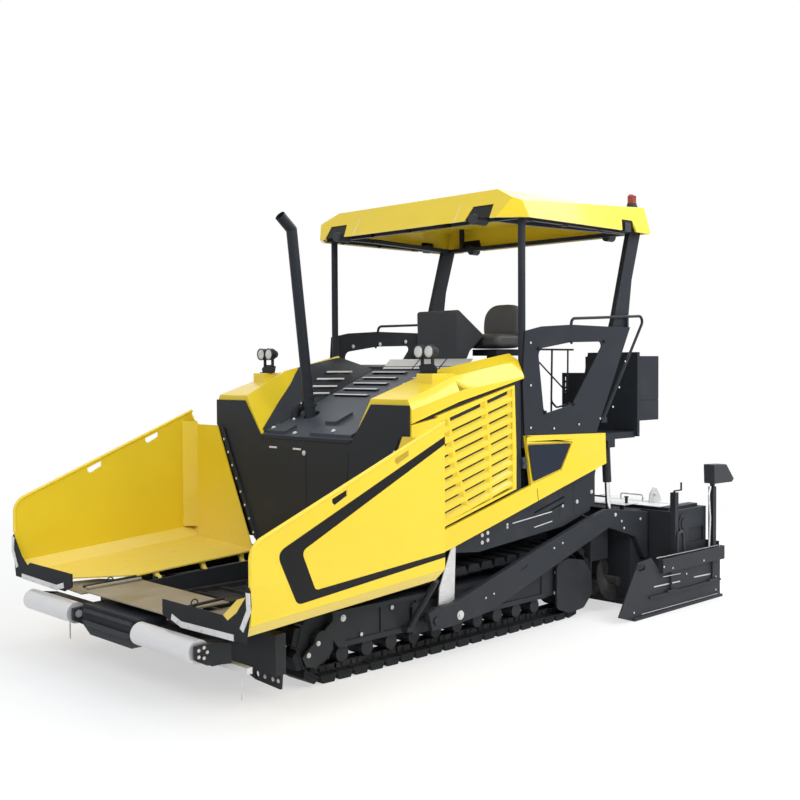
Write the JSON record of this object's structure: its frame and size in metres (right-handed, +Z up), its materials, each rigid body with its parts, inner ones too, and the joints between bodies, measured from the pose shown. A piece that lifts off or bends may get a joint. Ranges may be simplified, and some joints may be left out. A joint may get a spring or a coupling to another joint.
{
  "type": "tracked asphalt paver",
  "caption": "Tracked asphalt paver with a folding hopper, twin push rollers, slat conveyor, augers, a canopy over the platform and a floating extending screed.",
  "frame": {"origin": "on the ground, midway between the hopper's push rollers and the screed's rear, on the centre plane", "axes": "+Y towards the screed (rear), +X to the operator's left, +Z up"},
  "size_m": [3.3, 6.1902, 3.94],
  "materials": {
    "yellow_paint": "gloss",
    "dark_paint": "satin",
    "black_rubber": "matte",
    "track_steel": "matte",
    "bright_steel": "satin",
    "worn_steel": "worn",
    "chrome_rod": "polished",
    "dark_plastic": "moulded",
    "seat_cover": "grained",
    "red_lens": "clear",
    "engine_iron": "cast"
  },
  "bodies": {
    "root": {"auger_carrier": "dark_paint", "beacon": "red_lens", "canopy_frame": "dark_paint", "canopy_lamps": "dark_plastic", "canopy_roof": "yellow_paint", "console": "dark_plastic", "conveyor": "track_steel", "dash_panel": "dark_plastic", "engine_block": "engine_iron", "engine_housing": "dark_paint", "exhaust": "dark_paint", "front_apron": "worn_steel", "front_wall": "dark_paint", "guide_bar": "bright_steel", "hanger_plates": "bright_steel", "headlamps": "dark_paint", "hood_deck": "dark_paint", "lashing_plates": "dark_paint", "left_cab_side": "dark_paint", "left_hood_shoulder": "yellow_paint", "left_side_panel": "yellow_paint", "left_track": "track_steel", "left_track_frame": "dark_paint", "main_frame": "dark_paint", "platform": "dark_paint", "rear_box": "dark_paint", "rear_tank": "dark_paint", "right_cab_side": "dark_paint", "right_hood_shoulder": "yellow_paint", "right_side_panel": "yellow_paint", "right_track": "track_steel", "right_track_frame": "dark_paint", "roller_beam": "dark_paint", "seat": "seat_cover", "seat_base": "dark_paint", "side_skirts": "dark_paint"},
    "left_wing": {"left_hopper_wing": "yellow_paint", "left_wing_flap": "black_rubber"},
    "left_push_roller": {"left_push_roller": "bright_steel"},
    "left_auger": {"left_auger": "track_steel"},
    "left_door": {"left_service_door": "yellow_paint"},
    "right_wing": {"right_hopper_wing": "yellow_paint", "right_wing_flap": "black_rubber"},
    "right_push_roller": {"right_push_roller": "bright_steel"},
    "right_auger": {"right_auger": "track_steel"},
    "right_door": {"right_service_door": "yellow_paint"},
    "screed": {"left_tow_arm": "dark_paint", "right_tow_arm": "dark_paint", "screed_body": "dark_paint"},
    "left_extension": {"left_screed_extension": "dark_paint", "left_end_gate": "dark_paint", "left_control_box": "dark_plastic"},
    "left_lift_barrel": {"left_lift_barrel": "dark_paint"},
    "left_lift_rod": {"left_lift_rod": "chrome_rod"},
    "right_extension": {"right_screed_extension": "dark_paint", "right_end_gate": "dark_paint", "right_control_box": "dark_plastic"},
    "right_lift_barrel": {"right_lift_barrel": "dark_paint"},
    "right_lift_rod": {"right_lift_rod": "chrome_rod"}
  },
  "joints": [
    {"name": "left_wing_fold", "type": "hinge", "parent": "root", "child": "left_wing", "pos_m": [0.668, -2, 0.56], "axis": [0, -1, 0], "range_deg": [0, 50]},
    {"name": "left_push_roller_spin", "type": "hinge", "parent": "root", "child": "left_push_roller", "pos_m": [0.81, -3, 0.443], "axis": [1, 0, 0], "continuous": true},
    {"name": "left_auger_spin", "type": "hinge", "parent": "root", "child": "left_auger", "pos_m": [0.6, 1.6, 0.265], "axis": [1, 0, 0], "continuous": true},
    {"name": "left_door_open", "type": "hinge", "parent": "root", "child": "left_door", "pos_m": [1.277, -0.855, 1.5], "axis": [0, 0, -1], "range_deg": [0, 100]},
    {"name": "right_wing_fold", "type": "hinge", "parent": "root", "child": "right_wing", "pos_m": [-0.668, -2, 0.56], "axis": [0, 1, 0], "range_deg": [0, 50]},
    {"name": "right_push_roller_spin", "type": "hinge", "parent": "root", "child": "right_push_roller", "pos_m": [-0.81, -3, 0.443], "axis": [1, 0, 0], "continuous": true},
    {"name": "right_auger_spin", "type": "hinge", "parent": "root", "child": "right_auger", "pos_m": [-0.6, 1.6, 0.265], "axis": [1, 0, 0], "continuous": true},
    {"name": "right_door_open", "type": "hinge", "parent": "root", "child": "right_door", "pos_m": [-1.277, -0.855, 1.5], "axis": [0, 0, 1], "range_deg": [0, 100]},
    {"name": "screed_lift", "type": "hinge", "parent": "root", "child": "screed", "pos_m": [0, -0.885, 0.31], "axis": [1, 0, 0], "range_deg": [0, 6]},
    {"name": "left_extension_slide", "type": "slide", "parent": "screed", "child": "left_extension", "axis": [1, 0, 0], "range_m": [-0.28, 0.85]},
    {"name": "left_lift_barrel_swing", "type": "hinge", "parent": "root", "child": "left_lift_barrel", "pos_m": [1.19, 1.48, 1.57], "axis": [1, 0, 0], "range_deg": [-7.85, 0]},
    {"name": "left_lift_rod_slide", "type": "slide", "parent": "left_lift_barrel", "child": "left_lift_rod", "axis": [0, 0.0744, -0.9972], "range_m": [-0.2523, 0]},
    {"name": "right_extension_slide", "type": "slide", "parent": "screed", "child": "right_extension", "axis": [-1, 0, 0], "range_m": [-0.28, 0.85]},
    {"name": "right_lift_barrel_swing", "type": "hinge", "parent": "root", "child": "right_lift_barrel", "pos_m": [-1.19, 1.48, 1.57], "axis": [1, 0, 0], "range_deg": [-7.85, 0]},
    {"name": "right_lift_rod_slide", "type": "slide", "parent": "right_lift_barrel", "child": "right_lift_rod", "axis": [0, 0.0744, -0.9972], "range_m": [-0.2523, 0]}
  ],
  "couplings": [
    {"joint": "left_lift_barrel_swing", "follows": "screed_lift", "ratio": -1.2758},
    {"joint": "left_lift_rod_slide", "follows": "screed_lift", "m_per_rad": -2.3905},
    {"joint": "right_lift_barrel_swing", "follows": "screed_lift", "ratio": -1.2758},
    {"joint": "right_lift_rod_slide", "follows": "screed_lift", "m_per_rad": -2.3905}
  ]
}
